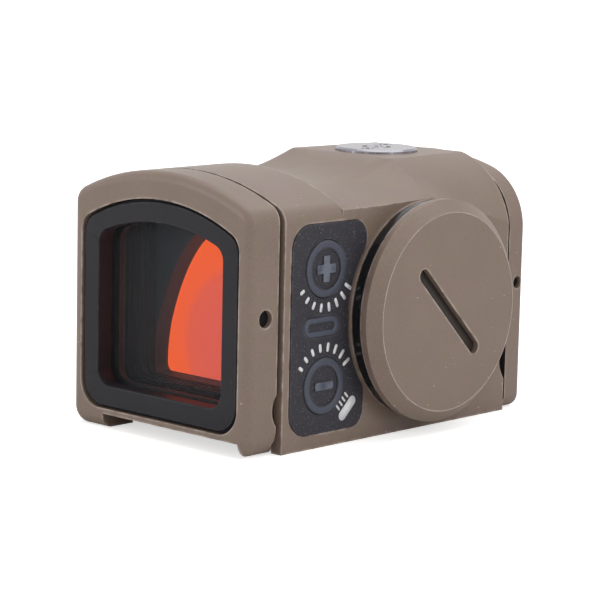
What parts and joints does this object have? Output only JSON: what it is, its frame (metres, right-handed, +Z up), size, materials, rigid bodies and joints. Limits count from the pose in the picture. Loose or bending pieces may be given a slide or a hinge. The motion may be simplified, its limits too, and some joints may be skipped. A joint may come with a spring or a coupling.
{
  "type": "red dot finder",
  "caption": "Compact enclosed reflex red dot sight with arched windows, side battery cap, rubber keys, top and side adjusters and a rail clamp base.",
  "frame": {"origin": "middle of the rail seat, the flat roof of the channel under the sight", "axes": "+X to the battery cap side, +Y along the sight line from the objective end to the eyepiece end, +Z up"},
  "size_m": [0.0341, 0.047, 0.0311],
  "materials": {
    "body_coat": "dark earth hard coat on aluminium, matte, worn paler at the edges",
    "frame_black": "satin black with a faint purple cast",
    "clear_glass": "flat coated window glass",
    "coated_glass": "meniscus with an orange-red reflecting coating",
    "seal_rubber": "black seal rubber",
    "tunnel_black": "flat black anti-glare finish",
    "bare_aluminium": "dark anodised aluminium",
    "dark_plastic": "black moulded plastic",
    "led_plastic": "small red diode",
    "dial_black": "smooth satin black anodising",
    "cell_steel": "nickel plated steel",
    "contact_brass": "gold-plated spring metal",
    "gasket_rubber": "glossy black moulded gasket",
    "keypad_rubber": "charcoal, fine speckled texture",
    "key_rubber": "bluish charcoal raised ring and mark",
    "status_plastic": "bluish charcoal insert",
    "board_plastic": "green circuit board"
  },
  "bodies": {
    "housing": {"main_housing": "body_coat", "front_bezel": "body_coat", "rear_bezel": "body_coat", "front_window_frame": "frame_black", "rear_window_frame": "frame_black", "front_window": "clear_glass", "rear_window": "clear_glass", "front_window_seal": "seal_rubber", "rear_window_seal": "seal_rubber", "tunnel_liner": "tunnel_black", "lens_cell": "tunnel_black", "lens_retainer": "tunnel_black", "slider_guide": "tunnel_black", "rear_baffle": "tunnel_black", "reflector_lens": "coated_glass", "elevation_seal": "seal_rubber", "battery_cell": "cell_steel", "battery_contact": "contact_brass", "keypad_panel": "keypad_rubber", "status_window": "status_plastic", "button_board": "board_plastic", "increase_dome": "cell_steel", "decrease_dome": "cell_steel"},
    "cap_lift": {"battery_cap_gasket": "gasket_rubber"},
    "cap": {"battery_cap": "body_coat", "contact_spring": "contact_brass"},
    "elevation_dial": {"elevation_screw": "dial_black"},
    "windage_dial": {"windage_screw": "dial_black"},
    "windage_carriage": {"windage_slider": "bare_aluminium"},
    "emitter_carriage": {"emitter_frame": "bare_aluminium", "emitter_holder": "dark_plastic", "emitter_led": "led_plastic"},
    "increase_key": {"increase_button": "key_rubber"},
    "decrease_key": {"decrease_button": "key_rubber"}
  },
  "joints": [
    {"name": "cap_lift_slide", "type": "slide", "parent": "housing", "child": "cap_lift", "axis": [1, 0, 0], "range_m": [0, 0.00225]},
    {"name": "cap_turn", "type": "hinge", "parent": "cap_lift", "child": "cap", "pos_m": [0.0185, 0.0044, 0.0125], "axis": [1, 0, 0], "range_deg": [0, 810]},
    {"name": "elevation_turn", "type": "hinge", "parent": "housing", "child": "elevation_dial", "pos_m": [0, 0.0124, 0.0295], "axis": [0, 0, 1], "range_deg": [-540.01, 540.01]},
    {"name": "windage_turn", "type": "hinge", "parent": "housing", "child": "windage_dial", "pos_m": [-0.0151, 0.0124, 0.0131], "axis": [1, 0, 0], "range_deg": [-540.01, 540.01]},
    {"name": "windage_slide", "type": "slide", "parent": "housing", "child": "windage_carriage", "axis": [1, 0, 0], "range_m": [-0.0003, 0.0003]},
    {"name": "elevation_slide", "type": "slide", "parent": "windage_carriage", "child": "emitter_carriage", "axis": [0, 0, 1], "range_m": [-0.0003, 0.0003]},
    {"name": "increase_press", "type": "slide", "parent": "housing", "child": "increase_key", "axis": [-1, 0, 0], "range_m": [0, 0.0003], "stiffness_N_per_m": 1500},
    {"name": "decrease_press", "type": "slide", "parent": "housing", "child": "decrease_key", "axis": [-1, 0, 0], "range_m": [0, 0.0003], "stiffness_N_per_m": 1500}
  ],
  "couplings": [
    {"joint": "cap_lift_slide", "follows": "cap_turn", "m_per_rad": 0.00015915},
    {"joint": "elevation_turn", "follows": "elevation_slide", "rad_per_m": 31416},
    {"joint": "windage_turn", "follows": "windage_slide", "rad_per_m": 31416}
  ]
}
